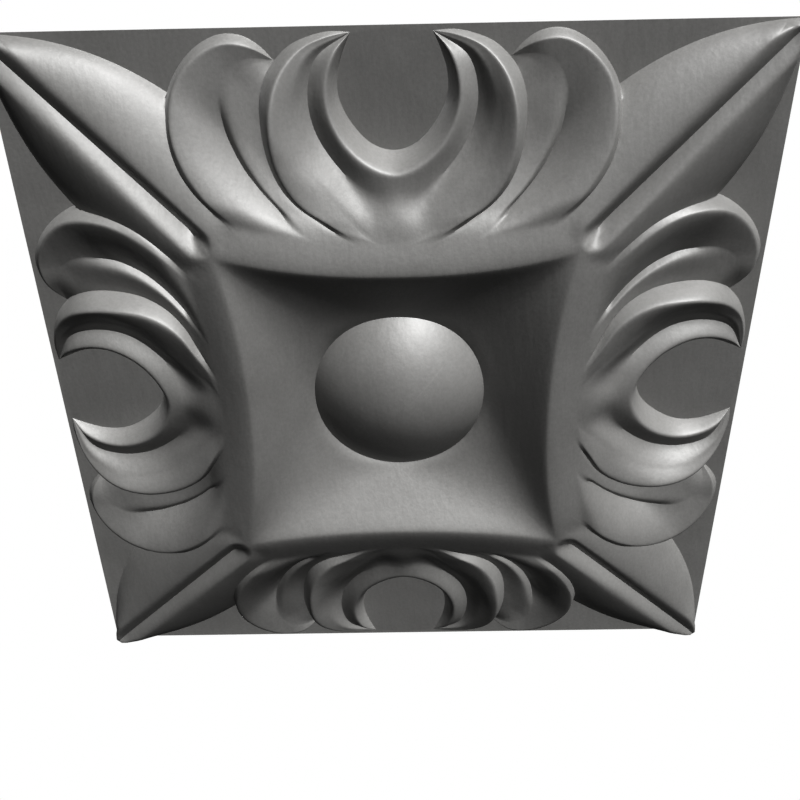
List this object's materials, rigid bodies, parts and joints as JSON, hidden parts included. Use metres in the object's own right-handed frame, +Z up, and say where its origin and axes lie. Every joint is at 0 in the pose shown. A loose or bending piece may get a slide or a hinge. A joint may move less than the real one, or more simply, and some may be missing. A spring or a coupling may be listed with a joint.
{
  "type": "carved rosette block",
  "caption": "Square rosette block carved in relief: round boss in a square bowl with a soft rim, lobed leaves with open eyes on the sides, pointed darts to the corners, flat back.",
  "frame": {"origin": "centre of the flat back face, where the block meets the wall", "axes": "+Y out of the back, towards the wall, so the carving faces -Y; +Z up; +X to the right as seen from the front"},
  "size_m": [0.15, 0.02, 0.15],
  "materials": {
    "stone": "honed, satin, hand carved"
  },
  "bodies": {
    "root": {"rosette": "stone"}
  },
  "joints": []
}
